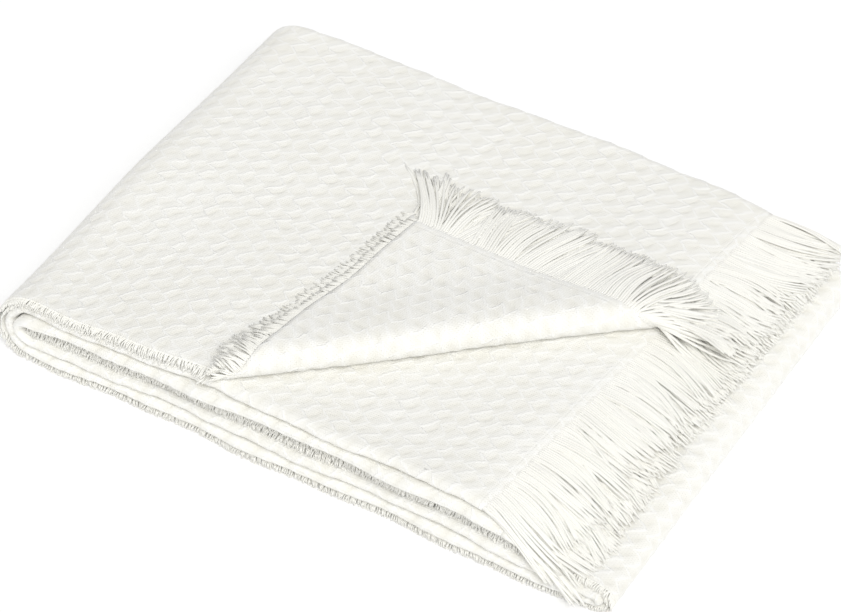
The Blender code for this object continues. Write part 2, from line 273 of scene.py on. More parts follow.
# A fanned yarn turns with its lock, bends a little, and falls onto what lies beside it or under it
FAN_TURN = 12
FAN_BEND = 0.004
FAN_BESIDE = 0.02
FAN_FALLS_TO = 0.01
FAN_DROP = 0.004
FAN_HASTE = 1.2
# How far the yarns' tips sink onto what lies under them
YARN_SETTLES = {"inner": 0.0042, "other": 0.0016}
# On the turned-back corner the lower layer's yarns end under the upper layer's
LOWER_YARNS_KEEP = 0.80
LOWER_YARNS_OVER = 0.03
# Over the front edge the yarns hang down
DROOP_REACH = 0.045
DROOP_OUT = 0.0070
DROOP_DOWN = 0.0120
DROOP_POWER = 1.5

# The frayed ends of the weft along both selvedges
FRAY_LENGTH = 0.0056
FRAY_LENGTHS = (0.65, 1.15)
FRAY_PITCH = 0.0008
FRAY_JITTER = 0.0005
FRAY_RADIUS = 0.00048
FRAY_SIDES = 4
FRAY_RINGS = (-0.15, 0.0, 0.3, 0.6, 1.0)
FRAY_TIP = 0.7
FRAY_PULL_IN = 0.3
FRAY_DROOPS = (0.0022, 0.0042)
FRAY_SLANT = 0.0014
FRAY_SLANT_KEPT = 0.7
# On the turned-back corner they are longer and lie flatter, most of all beside the end of the crease
CORNER_FRAYS_TO = 0.200
CORNER_FRAYS_FADE = 0.01
CORNER_FRAY_SHARE = 0.5
CORNER_FRAY_WIDTH = 1.45
CORNER_FRAY_DROOP = 0.7
LOOSE_AT = 0.160
LOOSE_REACH = 0.055
LOOSE_SHARE = 1.1
LOOSE_SLANT = 2

# What each piece's random draws start from
SEEDS = {"top_yarns": 11, "under_yarns": 23, "outer_selvedge_fray": 31, "inner_selvedge_fray": 47}

# The fibres and plies: scales per metre, lengths in metres, heights in millimetres
FIBRE_SCALE = 900.0
FIBRE_DETAIL = 3.0
SPOT_SCALE = 26.0
SPOT_DETAIL = 2.0
PLY_TURN = 0.0035
PLIES = 2.0
PLY_HEIGHT = 0.05

# The finishes: two colours of cotton that the shade mixes, and the fibres' height in millimetres as grain.
# The shade is random spots of tone, and on the woven cloth also painted shade in the dents and a painted
# highlight on the ridges
# How strongly the weave's painted shade and painted highlight darken and lighten the woven cloth
WEAVE_PAINTED_SHADE = 0.8
HEIGHT_UNIT = 0.001
COTTON = {
    "Roughness": 0.95,
    "Sheen Weight": 0.45,
    "Sheen Roughness": 0.5,
    "Specular IOR Level": 0.15,
}
COTTON_KINDS = {
    "woven_cotton": {"light": (0.94, 0.935, 0.90), "dark": (0.88, 0.865, 0.80), "grain": 0.24},
    "twisted_yarn": {"light": (0.955, 0.95, 0.905), "dark": (0.915, 0.90, 0.84), "grain": 0.05},
}
FLOOR = {
    "Base Color": (0.93, 0.93, 0.93, 1),
    "Roughness": 0.9,
    "Specular IOR Level": 0.1,
    "Emission Color": (1, 1, 1, 1),
    "Emission Strength": 0.11,
}
FLOOR_SIZE = 14
FLOOR_DROP = 0.0002

# The light: each lamp's strength, its softness in degrees, and where it comes from
WORLD_LIGHT = 0.56
LIGHTS = {
    "key": (0.64, 35, (1.3, -0.9, 1.5)),
    "fill": (1.20, 25, (0.40, -0.54, 0.84)),
}

# The photograph's view
CAMERA_AZIMUTH = math.radians(31.5)
CAMERA_ELEVATION = math.radians(43)
CAMERA_DISTANCE = 2.0309
CAMERA_TARGET = Vector((-0.0127, 0.0128, 0.0))
CAMERA_LENS = 139.7
CAMERA_SENSOR = 36
CAMERA_REACH = 30


# Folding

def ease(t):
    """0 before 0, 1 after 1, and a smooth step between."""
    t = min(1.0, max(0.0, t))
    return t * t * (3 - 2 * t)


def blend(a, b, t):
    """The value that lies this share of the way from a to b."""
    return a + (b - a) * t


def find(table, at):
    """The row of the table that holds this length of cloth, and how far into it the length reaches."""
    start = 0.0
    for row in table:
        if at <= start + row["length"] or row is table[-1]:
            return row["name"], at - start, row["length"]
        start += row["length"]


def across(v):
    """Where a thread lies across the strip: its Y, its height in the strip, and its panel's name."""
    name, d, length = find(ACROSS, v)
    turn = math.pi * d / length
    if name == "outer":
        return SELVEDGE_Y + d, 3.5 * PITCH, name
    if name == "outer_back_fold":
        return BACK_AXIS + 1.5 * PITCH * math.sin(turn), (2 + 1.5 * math.cos(turn)) * PITCH, name
    if name == "lowest":
        return BACK_AXIS - d, 0.5 * PITCH, name
    if name == "nose":
        return NOSE_AXIS - NOSE_DEPTH * math.sin(turn), (1 - 0.5 * math.cos(turn)) * PITCH, name
    if name == "second":
        return NOSE_AXIS + d, 1.5 * PITCH, name
    if name == "inner_back_fold":
        return BACK_AXIS + 0.5 * PITCH * math.sin(turn), (2 - 0.5 * math.cos(turn)) * PITCH, name
    return BACK_AXIS - d, 2.5 * PITCH, name


def puffed(w, y):
    """The height in the strip, once the folded nose at the front has pushed its layers apart."""
    level = w / PITCH
    for low, high in zip(FRONT_LEVELS, FRONT_LEVELS[1:]):
        if level <= high["level"] or high is FRONT_LEVELS[-1]:
            share = (level - low["level"]) / (high["level"] - low["level"])
            front = blend(low["front"], high["front"], share)
            return blend(front, level, ease((y - FRONT) / PUFF_REACH)) * PITCH


def hem(y, x, lean):
    """How far along the pack a hem lies at this Y."""
    return x + lean * y


def edge_shift(u, y, name):
    """How far a point near the front or back edge is moved along Y, panel by panel."""
    row_name, d, length = find(ALONG, u)
    first, last = JOINED.get(row_name, (row_name, row_name))
    values = {key: blend(PANELS[first][key], PANELS[last][key], ease(d / length)) for key in PANELS[first]}
    near_front = 1 - ease((y - FRONT) / EDGE_REACH)
    near_back = 1 - ease((BACK - y) / EDGE_REACH)
    front = values["selvedge"] if name in UPPER_LAYERS else values["front"]
    turn = 2 * math.pi * u / WAVE_LENGTH
    ripple = RIPPLE_SHARE * math.sin(RIPPLES_PER_WAVE * turn + RIPPLE_SHIFT)
    wave = WAVE * (math.sin(turn) + ripple)
    return (front + wave) * near_front - (values["back"] + BACK_SHARE * wave) * near_back


def along(u, y, w):
    """Where a thread lies along the pack: its X and its height."""
    name, d, length = find(ALONG, u)
    turn = math.pi * d / length
    if name == "top":
        edge = hem(y, TOP_HEM, TOP_HEM_LEAN)
        x = edge - d if u < 0 else blend(edge, LEFT_AXIS, d / length)
        return x, 12 * PITCH + w
    if name == "left_fold":
        # A circle above that turns squarer below, where the pack's weight rests on it
        radius = 4 * PITCH + w
        power = blend(1.0, LEFT_FOLD_SQUARENESS, ease(2 * d / length - 1))
        side = max(0.0, math.sin(turn)) ** power
        rise = abs(math.cos(turn)) ** power * (1 if turn < math.pi / 2 else -1)
        return LEFT_AXIS - radius * side, FOLD_TOP + radius * rise
    if name == "bottom":
        return LEFT_AXIS + d, 4 * PITCH - w
    if name == "right_fold":
        return RIGHT_AXIS + w * math.sin(turn), 4 * PITCH - w * math.cos(turn)
    if name == "middle":
        return RIGHT_AXIS - d, 4 * PITCH + w
    if name == "inner_left_fold":
        radius = 4 * PITCH - w
        return INNER_LEFT_AXIS - radius * math.sin(turn), FOLD_TOP - radius * math.cos(turn)
    edge = hem(y, UNDER_HEM, UNDER_HEM_LEAN)
    x = edge + d - length if d > length else blend(INNER_LEFT_AXIS, edge, d / length)
    return x, 12 * PITCH - w


def squeeze(x):
    """The share of their pitch that the layers of the two upper panels keep here."""
    return blend(1.0, FRINGE_PITCH / PITCH, ease((x - SETTLE_FROM) / (SETTLE_TO - SETTLE_FROM)))


def settled(x, z):
    """The two upper panels and their fringes lie closer together towards the fringed end."""
    return z if z <= FOLD_TOP else FOLD_TOP + (z - FOLD_TOP) * squeeze(x)


def uneven(x, y, z):
    """How much the layers of the two upper panels swell or sink here, the top ones the most."""
    share = max(0.0, z / FOLD_TOP - 1)
    swell = SWELL * math.sin(2 * math.pi * x / SWELL_ALONG + SWELL_SHIFT)
    return share * (swell * math.cos(2 * math.pi * y / SWELL_ACROSS))


def pressed(x, y):
    """The share of its height that the pack keeps here."""
    keep = 1.0
    for corner in LOW_CORNERS:
        near = 1 - ease(abs(x - corner["x"]) / corner["along"])
        keep -= corner["share"] * near * (1 - ease(abs(y - corner["y"]) / corner["across"]))
    return keep


def thinned(point):
    """The share of its thickness that the cloth keeps where its layers lie closer."""
    x, y = point.x + PACK_CENTRE.x, point.y + PACK_CENTRE.y
    keep = pressed(x, y)
    if point.z > FOLD_TOP * keep:
        keep *= squeeze(x)
    return keep


def past_crease(v):
    """How far past the crease the top hem is at this thread."""
    y = across(v)[0]
    root = Vector((hem(y, TOP_HEM, TOP_HEM_LEAN), y)) - CREASE_POINT
    return root.dot(CREASE_OUT)


def turned_back(x, y, w):
    """A point of the two upper layers past the crease: over the roll, then down onto the pack."""
    point = Vector((x, y)) - CREASE_POINT
    out = point.dot(CREASE_OUT)
    if out <= 0:
        return x, y, 0.0
    under_top = 3.5 * PITCH - w
    radius = ROLL_RADIUS + under_top
    if out < math.pi * radius:
        beyond = radius * math.sin(out / radius)
        rise = radius * (1 - math.cos(out / radius))
    else:
        beyond = math.pi * radius - out
        rests = PITCH + 2 * under_top
        rise = blend(2 * radius, rests, ease(-beyond / ROLL_SETTLES_IN))
    turned = CREASE_POINT + CREASE_ALONG * point.dot(CREASE_ALONG) + CREASE_OUT * beyond
    return turned.x, turned.y, rise


def place(u, v):
    """The folded place of a point of the flat throw."""
    y, w, name = across(v)
    x, height = along(u, y, puffed(w, y))
    rise = 0.0
    y += edge_shift(u, y, name)
    lies_flat = u < 0 and past_crease(v) < 0
    if u < TOP_LENGTH and name in UPPER_LAYERS and not lies_flat:
        x, y, rise = turned_back(x, y, w)
    z = settled(x, height)
    lift = z + uneven(x, y, z) + rise - LOWEST
    middle = CLOTH / 2 + (lift - SOLID_CLOTH / 2) * pressed(x, y)
    return Vector((x - PACK_CENTRE.x, y - PACK_CENTRE.y, middle))


# The woven sheet

def bump_at(distance, width):
    """1 on a line and 0 at this distance from it or more, with a round top."""
    return 1 - ease(abs(distance) / width)


def off_line(at, pitch):
    """The signed distance to the nearest of lines this far apart."""
    return ((at / pitch + 0.5) % 1.0 - 0.5) * pitch


def zigzag_row(u, v):
    """One set of zigzag ridges, with the dents beside them."""
    share = v / WEFT_REPEAT % 1.0
    leaf = LEAF_LENGTH * min(share / LEAF_TURN, (1 - share) / (1 - LEAF_TURN))
    ridge = bump_at(off_line(leaf - u, WARP_REPEAT), RIDGE_WIDTH)
    along_dent = off_line(v - DENT_V, WEFT_REPEAT)
    across_dent = off_line(u - DENT_U - DENT_SLANT * along_dent, WARP_REPEAT)
    dent = math.exp(-(along_dent / DENT_LENGTH) ** 2 - (across_dent / DENT_WIDTH) ** 2)
    return RIDGE_HEIGHT * ridge - DENT_DEPTH * dent


def weave_noise(u, v, scale, layer):
    """A smooth noise over the flat cloth, between -1 and 1."""
    return noise.noise(Vector((u * scale, v * scale, layer)))


def relief(u, v):
    """How far the face of the cloth stands out of its middle here."""
    edge = min(u, CLOTH_LENGTH - u)
    side = min(v, CLOTH_WIDTH - v)
    u += DRIFT * weave_noise(u, v, DRIFT_SCALE, DRIFT_LAYERS["u"])
    v += DRIFT * weave_noise(u, v, DRIFT_SCALE, DRIFT_LAYERS["v"])
    height = zigzag_row(u, v) + FAINT_SHARE * zigzag_row(u + WARP_REPEAT / 2, v + WEFT_REPEAT / 2)
    uneven_weave = UNEVEN_MIDDLE + UNEVEN_SHARE * weave_noise(u, v, UNEVEN_SCALE, UNEVEN_LAYER)
    return height * uneven_weave * ease(edge / FLAT_HEM) * ease(side / FLAT_SELVEDGE - SELVEDGE_START)


def marks(start, end, step):
    """Lines of the mesh at whole steps inside a range, with the range's own two ends."""
    first = math.ceil(start / step + LINE_GAP)
    last = math.floor(end / step - LINE_GAP)
    return [start] + [n * step for n in range(first, last + 1)] + [end]


def parts_of(table, splits):
    """The rows of a table cut at further lengths, each part with its number in its row."""
    found = []
    start = 0.0
    for row in table:
        cuts = [start] + [start + s for s in splits.get(row["name"], ())] + [start + row["length"]]
        for n, (low, high) in enumerate(zip(cuts, cuts[1:])):
            found.append({"name": row["name"], "start": low, "end": high, "part": n})
        start += row["length"]
    return found


def fineness(row, column):
    """The mesh steps of one patch, from what shows of it."""
    u_name, u_part = row["name"], row["part"]
    v_name, v_part = column["name"], column["part"]
    if v_name == "outer":
        if u_name in ("top", "left_fold", "right_fold") or (u_name, u_part) == ("middle", 0):
            return FINE
        return MARGIN if v_part == 0 else COARSE
    if (u_name, u_part) == ("top", 0):
        if v_name == "inner" and v_part > 0:
            return FINE
        if v_name == "second" and v_part < 2:
            return FINE
    if v_name == "nose":
        return NOSE_STEPS
    if v_name == "outer_back_fold":
        return MARGIN
    if (v_name, v_part) in (("lowest", 2), ("second", 0), ("inner", 2)):
        return MARGIN
    return COARSE


def between(lines, low, high):
    """The lines from low up to, and not with, high."""
    return lines[bisect_left(lines, low - 1e-9):bisect_left(lines, high - 1e-9)]


def flat_sheet():
    """The flat cloth: its points (u, v), whether each shows, and its faces."""
    rows = parts_of(ALONG, ALONG_SPLITS)
    columns = parts_of(ACROSS, ACROSS_SPLITS)
    lines = {}
    for i, row in enumerate(rows):
        for j, column in enumerate(columns):
            step = fineness(row, column)
            u_step = TIGHT_STEP if row["name"] == "inner_left_fold" else step["u"]
            v_step = TIGHT_STEP if column["name"] == "inner_back_fold" else step["v"]
            us = marks(row["start"], row["end"], u_step)
            vs = marks(column["start"], column["end"], v_step)
            lines[i, j] = (us, vs, step is not COARSE)

    def shared(one, other, which):
        """The lines along one side of a patch, with its neighbour's."""
        own = lines[one][which]
        if other not in lines:
            return own
        return sorted({round(x, 9): x for x in own + lines[other][which]}.values())

    index, shows, faces = {}, {}, []

    def number(u, v, fine):
        """The number of the point at this place."""
        key = (round(u, 7), round(v, 7))
        index.setdefault(key, len(index))
        shows[key] = shows.get(key, True) and fine
        return index[key]

    for (i, j), (us, vs, fine) in lines.items():
        below, above = shared((i, j), (i, j - 1), 0), shared((i, j), (i, j + 1), 0)
        left, right = shared((i, j), (i - 1, j), 1), shared((i, j), (i + 1, j), 1)
        for a, (u0, u1) in enumerate(zip(us, us[1:])):
            for b, (v0, v1) in enumerate(zip(vs, vs[1:])):
                loop = [(u, v0) for u in (between(below, u0, u1) if b == 0 else (u0,))]
                loop += [(u1, v) for v in (between(right, v0, v1) if a == len(us) - 2 else (v0,))]
                top = between(above, u0, u1)[1:] if b == len(vs) - 2 else []
                loop += [(u, v1) for u in [u1] + top[::-1]]
                back = between(left, v0, v1)[1:] if a == 0 else []
                loop += [(u0, v) for v in [v1] + back[::-1]]
                faces.append([number(u, v, fine) for u, v in loop])
    return list(index), [shows[key] for key in index], faces


def tell_triangles(name, mesh):
    """Prints how many triangles a piece has."""
    print(name, sum(len(face.vertices) - 2 for face in mesh.polygons), "triangles")


def add_object(name, mesh, material):
    """A new object at the origin with this mesh and material."""
    mesh.materials.append(material)
    obj = bpy.data.objects.new(name, mesh)
    bpy.context.scene.collection.objects.link(obj)
    return obj


def make_cloth(material):
    """The throw: one sheet, folded, with the weave's relief where it shows."""
    points, shows, faces = flat_sheet()
    mesh = bpy.data.meshes.new("throw_cloth")
    folded = [place(u, v) for u, v in points]
    mesh.from_pydata(folded, [], faces)
    mesh.update()
    cloth_uv = mesh.uv_layers.new(name="cloth_uv")
    for loop in mesh.loops:
        cloth_uv.data[loop.index].uv = points[loop.vertex_index]
    normals = [vertex.normal.copy() for vertex in mesh.vertices]
    for vertex, normal, (u, v), seen in zip(mesh.vertices, normals, points, shows):
        if seen:
            # The face of the cloth is the side away from its normal
            vertex.co -= normal * relief(u, v)
    mesh.shade_smooth()
    obj = add_object("throw_cloth", mesh, material)
    pressing = obj.vertex_groups.new(name="pressing")
    for vertex in mesh.vertices:
        u = points[vertex.index][0]
        at_hem = blend(HEM_THINNESS, 1.0, ease(min(u, CLOTH_LENGTH - u) / FLAT_HEM))
        pressing.add([vertex.index], thinned(vertex.co) * at_hem, "REPLACE")
    wall = obj.modifiers.new("thickness", "SOLIDIFY")
    wall.thickness = CLOTH
    wall.offset = 0
    wall.use_even_offset = False
    wall.vertex_group = "pressing"
    bpy.ops.object.select_all(action="DESELECT")
    bpy.context.view_layer.objects.active = obj
    bpy.ops.object.modifier_apply(modifier="thickness")
    for vertex in obj.data.vertices:
        vertex.co.z = max(0.0, vertex.co.z)
    tell_triangles("throw_cloth", obj.data)
    return obj


# Yarns

class YarnMesh:
    """Gathers many yarns, each a tube along its path, into one mesh."""

    def __init__(self, sides, radius, flatness=1.0):
        self.sides, self.radius, self.flatness = sides, radius, flatness
        self.points, self.faces, self.uvs, self.caps = [], [], [], []

    def add(self, path, roll=0.0, tip=YARN_TIP, wide=1.0):
        """One yarn. Its ends are closed, and it thins out over its last stretch."""
        start = len(self.points)
        count = len(path)
        run = 0.0
        for n, point in enumerate(path):
            ahead = path[min(n + 1, count - 1)] - path[max(n - 1, 0)]
            ahead.normalize()
            side = ahead.cross(Vector((0, 0, 1)))
            if side.length < 1e-3:
                side = Vector((1, 0, 0))
            side.normalize()
            up = side.cross(ahead)
            thin = blend(1.0, tip, ease((n / (count - 1) - TIP_FROM) / TIP_LENGTH))
            if n:
                run += (point - path[n - 1]).length
            for k in range(self.sides):
                angle = 2 * math.pi * k / self.sides + roll
                offset = side * math.cos(angle) + up * (math.sin(angle) * self.flatness)
                self.points.append(point + offset * (self.radius * thin * wide))
                self.uvs.append((run, k / self.sides))
        for n in range(count - 1):
            for k in range(self.sides):
                a = start + n * self.sides + k
                b = start + n * self.sides + (k + 1) % self.sides
                self.faces.append((a, b, b + self.sides, a + self.sides))
        last = start + (count - 1) * self.sides
        self.caps += [len(self.faces), len(self.faces) + 1]
        self.faces.append(tuple(range(start + self.sides - 1, start - 1, -1)))
        self.faces.append(tuple(range(last, last + self.sides)))

    def build(self, name, material):
        """The object of all yarns so far."""
        mesh = bpy.data.meshes.new(name)
        mesh.from_pydata(self.points, [], self.faces)
        mesh.update()
        layer = mesh.uv_layers.new(name="yarn_uv")
        for polygon in mesh.polygons:
            wraps = len(polygon.vertices) == 4
            for loop_index in polygon.loop_indices:
                run, around = self.uvs[mesh.loops[loop_index].vertex_index]
                corner = loop_index - polygon.loop_start
                if wraps and corner in (1, 2) and around == 0.0:
                    around = 1.0
                layer.data[loop_index].uv = (run, around)
        mesh.shade_smooth()
        for cap in self.caps:
            mesh.polygons[cap].use_smooth = False
        bm = bmesh.new()
        bm.from_mesh(mesh)
        bmesh.ops.recalc_face_normals(bm, faces=bm.faces)
        bm.to_mesh(mesh)
        bm.free()
        tell_triangles(name, mesh)
        return add_object(name, mesh, material)


def fan_angle(past):
    """The way that a yarn of the upper layers points, by how far past the crease its root is."""
    for (low, angle), (high, after) in zip(FAN_STEPS, FAN_STEPS[1:]):
        if past <= high:
            return math.radians(blend(angle, after, ease((past - low) / (high - low))))
    return math.radians(FAN_STEPS[-1][1])


def fringe_path(end, v, lock, pull_share, rng):
    """The path of one yarn of a fringe, from just inside the hem to its tip."""
    name = across(v)[2]
    length = FRINGE * lock["length"] * (1 + rng.uniform(-1, 1) * LENGTH_SPREAD)
    past = past_crease(v) if end == "top" and name in UPPER_LAYERS else -1.0
    if name == "outer":
        length *= blend(1.0, LOWER_YARNS_KEEP, ease(past / LOWER_YARNS_OVER))
    stray = rng.uniform(-1, 1) * (STRAY_REACH if rng.random() < STRAY_SHARE else YARN_REACH)
    curl = rng.uniform(-YARN_CURL, YARN_CURL)
    phase = rng.uniform(0, 2 * math.pi)
    lift = rng.uniform(0.0, YARN_LIFT) + lock["lift"]
    pull = (lock["middle"] - v) * (1 - lock["tip"]) * pull_share
    lock_lean = lock["lean"] * (CORNER_LOCK_LEAN if past > 0 else 1.0)
    lean = yarn_lean(end, v, name, past) + lock_lean
    inside = FRINGE_ROOT if end == "top" else -FRINGE_ROOT
    edge = 0.0 if end == "top" else CLOTH_LENGTH
    way = -1 if end == "top" else 1
    path = [place(edge + inside, v)]
    root = place(edge, v)
    fans = FAN_STEPS[0][0] < past < FAN_STEPS[-1][0]
    if fans:
        low = place(edge - length, v - FAN_BESIDE).z if past < FAN_FALLS_TO else root.z - FAN_DROP
        angle = fan_angle(past) + (stray + lock_lean) * FAN_TURN
        heading = Vector((math.cos(angle), math.sin(angle), 0))
    settle = YARN_SETTLES["inner" if past > 0 and name == "inner" else "other"]
    over_front = 1 - ease((root.y - FRONT) / DROOP_REACH)
    if name not in ("lowest", "nose", "second"):
        over_front = 0.0
    for n in range(YARN_RINGS):
        t = n / (YARN_RINGS - 1)
        wobble = curl * math.sin(2 * math.pi * t + phase) * t + lock["curl"] * math.sin(math.pi * t)
        if fans:
            side = Vector((-heading.y, heading.x, 0))
            point = root + heading * (length * t) + side * (wobble + FAN_BEND * t * t)
            fallen = blend(root.z, low, ease(t * FAN_HASTE))
            point.z = fallen + lift * math.sin(math.pi * t) - settle * ease(t)
        else:
            grown = blend(t, t * t, YARN_BEND)
            at = v + (pull + lean) * grown + stray * t * t + wobble
            point = place(edge + way * length * t, at)
            point.z += lift * math.sin(math.pi * t) - settle * ease(t)
            point.y -= DROOP_OUT * t * t * over_front
            point.z -= DROOP_DOWN * t ** DROOP_POWER * over_front
        path.append(point)
    return path


def yarn_lean(end, v, name, past):
    """How far along v a yarn's tip lies from its root."""
    wave = LEAN_WAVE * math.sin(2 * math.pi * v / LEAN_WAVE_LENGTH + LEAN_WAVE_SHIFTS[end])
    if name in ("lowest", "nose", "second"):
        grown = ease((abs(v - NOSE_AT) - NOSE_ARC / 2) / NOSE_LEAN_OVER)
        return wave + NOSE_LEANS[v >= NOSE_AT] * grown
    if past > 0:
        off = ease((min(v, CLOTH_WIDTH - v) - SELVEDGE_LEAN_FROM) / SELVEDGE_LEAN_WIDTH)
        return wave + blend(SELVEDGE_LEAN, CORNER_LEAN, off) * (1 if name == "outer" else -1)
    if name == "outer":
        return wave + blend(*OUTER_LEANS, ease((v - OUTER_LEAN_FROM) / OUTER_LEAN_OVER))
    return wave + (INNER_LEAN if name == "inner" else 0.0)


def make_locks(rng):
    """The locks that one row of yarns is drawn together in, from one selvedge to the other."""
    locks = []
    start = 0.0
    while start < CLOTH_WIDTH:
        width = rng.uniform(*LOCK_WIDTHS)
        locks.append({
            "end": start + width,
            "middle": start + width / 2,
            "tip": rng.uniform(*LOCK_TIPS),
            "lean": rng.uniform(-LOCK_LEAN, LOCK_LEAN),
            "length": rng.uniform(*LOCK_LENGTHS),
            "lift": rng.uniform(*LOCK_LIFTS),
            "curl": rng.uniform(-LOCK_CURL, LOCK_CURL),
        })
        start += width
    return locks


def make_fringe(end, name, material):
    """The yarns of one hem in two rows, each drawn together in loose locks of its own."""
    rng = random.Random(SEEDS[name])
    yarns = YarnMesh(YARN_SIDES, YARN_RADIUS, YARN_FLATNESS)
    count = int(CLOTH_WIDTH / YARN_PITCH)
    for row in range(YARN_ROWS):
        locks = make_locks(rng)
        pull_share = LOWER_ROW_PULL if row else 1.0
        for n in range(count):
            v = (n + YARN_START + row / YARN_ROWS) * CLOTH_WIDTH / count
            v += rng.uniform(-YARN_JITTER, YARN_JITTER)
            lock = next(lock for lock in locks if v <= lock["end"])
            path = fringe_path(end, v, lock, pull_share, rng)
            for step, point in enumerate(path):
                point.z = max(YARN_RADIUS, point.z - row * YARN_ROW_DROP * min(1.0, step / 2))
            yarns.add(path, roll=rng.uniform(0, YARN_ROLL))
    return yarns.build(name, material)


def make_fray(side, name, material):
    """The short loose ends of the weft along one selvedge, hanging over the edge."""
    rng = random.Random(SEEDS[name])
    yarns = YarnMesh(FRAY_SIDES, FRAY_RADIUS)
    count = int(CLOTH_LENGTH / FRAY_PITCH)
    edge, way = (0.0, -1) if side == "outer" else (CLOTH_WIDTH, 1)
    slant = 0.0
    for n in range(count):
        u = (n + 0.5) * CLOTH_LENGTH / count + rng.uniform(-FRAY_JITTER, FRAY_JITTER)
        loose = bump_at(u - LOOSE_AT, LOOSE_REACH)
        on_corner = 1 - ease((u - CORNER_FRAYS_TO) / CORNER_FRAYS_FADE)
        grown = 1 + CORNER_FRAY_SHARE * on_corner + LOOSE_SHARE * loose
        length = FRAY_LENGTH * rng.uniform(*FRAY_LENGTHS) * grown
        turned = rng.uniform(-FRAY_SLANT, FRAY_SLANT) * (1 + LOOSE_SLANT * loose)
        slant = FRAY_SLANT_KEPT * slant + turned
        droop = rng.uniform(*FRAY_DROOPS) * blend(1.0, CORNER_FRAY_DROOP, on_corner)
        path = []
        for t in FRAY_RINGS:
            reach = length * (t - FRAY_PULL_IN * t * abs(t) * (1 - on_corner))
            point = place(min(max(u + slant * t, 0.0), CLOTH_LENGTH), edge + way * reach)
            point.z = max(FRAY_RADIUS, point.z - droop * max(0.0, t) ** 2)
            path.append(point)
        yarns.add(path, tip=FRAY_TIP, wide=blend(1.0, CORNER_FRAY_WIDTH, on_corner))
    return yarns.build(name, material)


# Materials

def feed(tree, value, socket):
    """Gives an input a number, or links it to another node's output."""
    if isinstance(value, bpy.types.NodeSocket):
        tree.links.new(value, socket)
    else:
        socket.default_value = value


def math_node(tree, operation, *values, clamp=False):
    """A Math node whose inputs are numbers or sockets, and its output."""
    node = tree.nodes.new("ShaderNodeMath")
    node.operation = operation
    node.use_clamp = clamp
    for socket, value in zip(node.inputs, values):
        feed(tree, value, socket)
    return node.outputs[0]


def noise_node(tree, vector, scale, detail):
    """A Noise Texture node on these coordinates."""
    node = tree.nodes.new("ShaderNodeTexNoise")
    node.inputs["Detail"].default_value = detail
    feed(tree, vector, node.inputs["Vector"])
    feed(tree, scale, node.inputs["Scale"])
    return node


def new_group(name, numbers, results):
    """A node group that takes a vector and these numbers, with its input and output nodes."""
    group = bpy.data.node_groups.new(name, "ShaderNodeTree")
    group.interface.new_socket(name="Vector", in_out="INPUT", socket_type="NodeSocketVector")
    for number, value in numbers.items():
        socket = group.interface.new_socket(name=number, in_out="INPUT", socket_type="NodeSocketFloat")
        socket.default_value = value
    for result in results:
        group.interface.new_socket(name=result, in_out="OUTPUT", socket_type="NodeSocketFloat")
    return group, group.nodes.new("NodeGroupInput").outputs, group.nodes.new("NodeGroupOutput").inputs


def cotton_fibre_group():
    """The fine fibres, in height, and the soft spots of shade that every yarn of the throw has."""
    group, given, result = new_group("cotton_fibre", {"Scale": 1.0}, ("Height", "Shade"))
    fine = math_node(group, "MULTIPLY", given["Scale"], FIBRE_SCALE)
    broad = math_node(group, "MULTIPLY", given["Scale"], SPOT_SCALE)
    fibres = noise_node(group, given["Vector"], fine, FIBRE_DETAIL)
    spots = noise_node(group, given["Vector"], broad, SPOT_DETAIL)
    feed(group, fibres.outputs["Fac"], result["Height"])
    feed(group, spots.outputs["Fac"], result["Shade"])
    return group


def soft_line(tree, distance, width):
    """1 on a line, and soft to both sides of it."""
    share = math_node(tree, "DIVIDE", distance, width)
    square = math_node(tree, "MULTIPLY", share, share)
    return math_node(tree, "EXPONENT", math_node(tree, "MULTIPLY", square, -1.0))


def nearest_line(tree, at, pitch):
    """The signed distance to the nearest of lines this far apart."""
    share = math_node(tree, "FRACT", math_node(tree, "ADD", math_node(tree, "DIVIDE", at, pitch), 0.5))
    return math_node(tree, "MULTIPLY", math_node(tree, "SUBTRACT", share, 0.5), pitch)


def zigzag_nodes(group, u, v, share):
    """The height of one set of zigzag ridges with its dents, and their painted shade, darker in the dents
    and lighter on the ridges, as sockets.
    """
    weft = math_node(group, "FRACT", math_node(group, "DIVIDE", v, WEFT_REPEAT))
    rising = math_node(group, "DIVIDE", weft, LEAF_TURN)
    falling = math_node(group, "DIVIDE", math_node(group, "SUBTRACT", 1.0, weft), 1 - LEAF_TURN)
    leaf = math_node(group, "MULTIPLY", math_node(group, "MINIMUM", rising, falling), LEAF_LENGTH)
    off = nearest_line(group, math_node(group, "SUBTRACT", leaf, u), WARP_REPEAT)
    ridge = soft_line(group, off, BUMP_RIDGE_WIDTH)
    along_dent = nearest_line(group, math_node(group, "SUBTRACT", v, DENT_V), WEFT_REPEAT)
    dent_u = math_node(group, "MULTIPLY_ADD", along_dent, DENT_SLANT, DENT_U)
    across_dent = nearest_line(group, math_node(group, "SUBTRACT", u, dent_u), WARP_REPEAT)
    long_way = soft_line(group, along_dent, DENT_LENGTH)
    dent = math_node(group, "MULTIPLY", long_way, soft_line(group, across_dent, DENT_WIDTH))
    height = math_node(group, "MULTIPLY", ridge, share * BUMP_RIDGE)
    # Painted shade in the dents and a painted highlight on the ridges
    shade = math_node(group, "MULTIPLY_ADD", ridge, -RIDGE_PAINTED_HIGHLIGHT, dent)
    return math_node(group, "MULTIPLY_ADD", dent, -share * BUMP_DENT, height), shade


